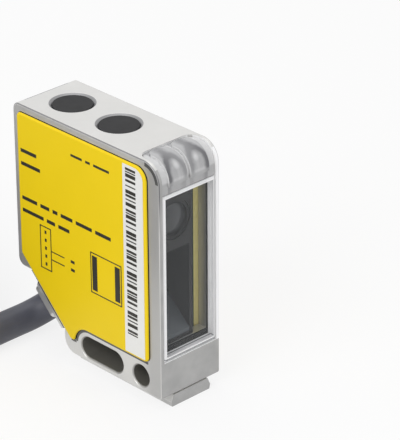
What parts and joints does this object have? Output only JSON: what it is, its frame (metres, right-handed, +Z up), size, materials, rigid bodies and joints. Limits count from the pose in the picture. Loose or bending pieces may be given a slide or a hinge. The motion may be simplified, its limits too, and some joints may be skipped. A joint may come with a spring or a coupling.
{
  "type": "safety through-beam sensor",
  "caption": "Slim block sensor with a dovetail foot, clear window over the front top edge, side covers, top plugs and a fixed cable.",
  "frame": {"origin": "middle of the dovetail foot's sole, under the middle of the housing", "axes": "+X across, towards the right cover; +Y from the optical face to the back; +Z up"},
  "size_m": [0.0843, 0.1208, 0.0525],
  "materials": {
    "plated_casting": "satin plated die casting",
    "yellow_plastic": "moulded, fine matt",
    "black_rubber": "soft matt",
    "printed_label": "white film",
    "black_print": null,
    "clear_pane": "polished, bevelled edge",
    "clear_window": "polished clear moulding",
    "white_plastic": "white diffuser",
    "lamp_body": "milky epoxy",
    "black_plastic": "moulded",
    "lens_glass": "dark filter tint, polished",
    "grey_plastic": "moulded",
    "circuit_board": "laminate with solder resist",
    "capacitor_can": "drawn can",
    "dark_plug": "moulded screw plug",
    "clamp_metal": "crimped ring",
    "cable_sheath": "satin extruded sheath",
    "core_sheath": "coloured core insulation",
    "tie_plastic": "releasable strap"
  },
  "bodies": {
    "root": {"housing_frame": "plated_casting", "left_cover": "yellow_plastic", "right_cover": "yellow_plastic", "left_cover_seal": "black_rubber", "right_cover_seal": "black_rubber", "code_label": "printed_label", "label_bars": "black_print", "cover_print": "black_print", "front_pane": "clear_pane", "pane_seal": "black_rubber", "indicator_window": "clear_window", "light_box": "white_plastic", "light_guides": "clear_window", "indicator_leds": "lamp_body", "optics_carrier": "black_plastic", "emitter_lens": "lens_glass", "lens_retainer": "black_plastic", "lower_baffle": "grey_plastic", "emitter_led": "lamp_body", "optics_board": "circuit_board", "main_board": "circuit_board", "board_header": "black_plastic", "control_chips": "black_plastic", "filter_capacitors": "capacitor_can", "front_plug": "dark_plug", "rear_plug": "dark_plug", "front_plug_ring": "black_rubber", "rear_plug_ring": "black_rubber", "cable_seal": "black_rubber", "cable_clamp": "clamp_metal", "cable_inner_end": "cable_sheath", "inner_leads": "core_sheath", "sensor_cable": "cable_sheath", "cable_coil": "cable_sheath", "coil_tie": "tie_plastic", "bare_leads": "core_sheath"}
  },
  "joints": []
}
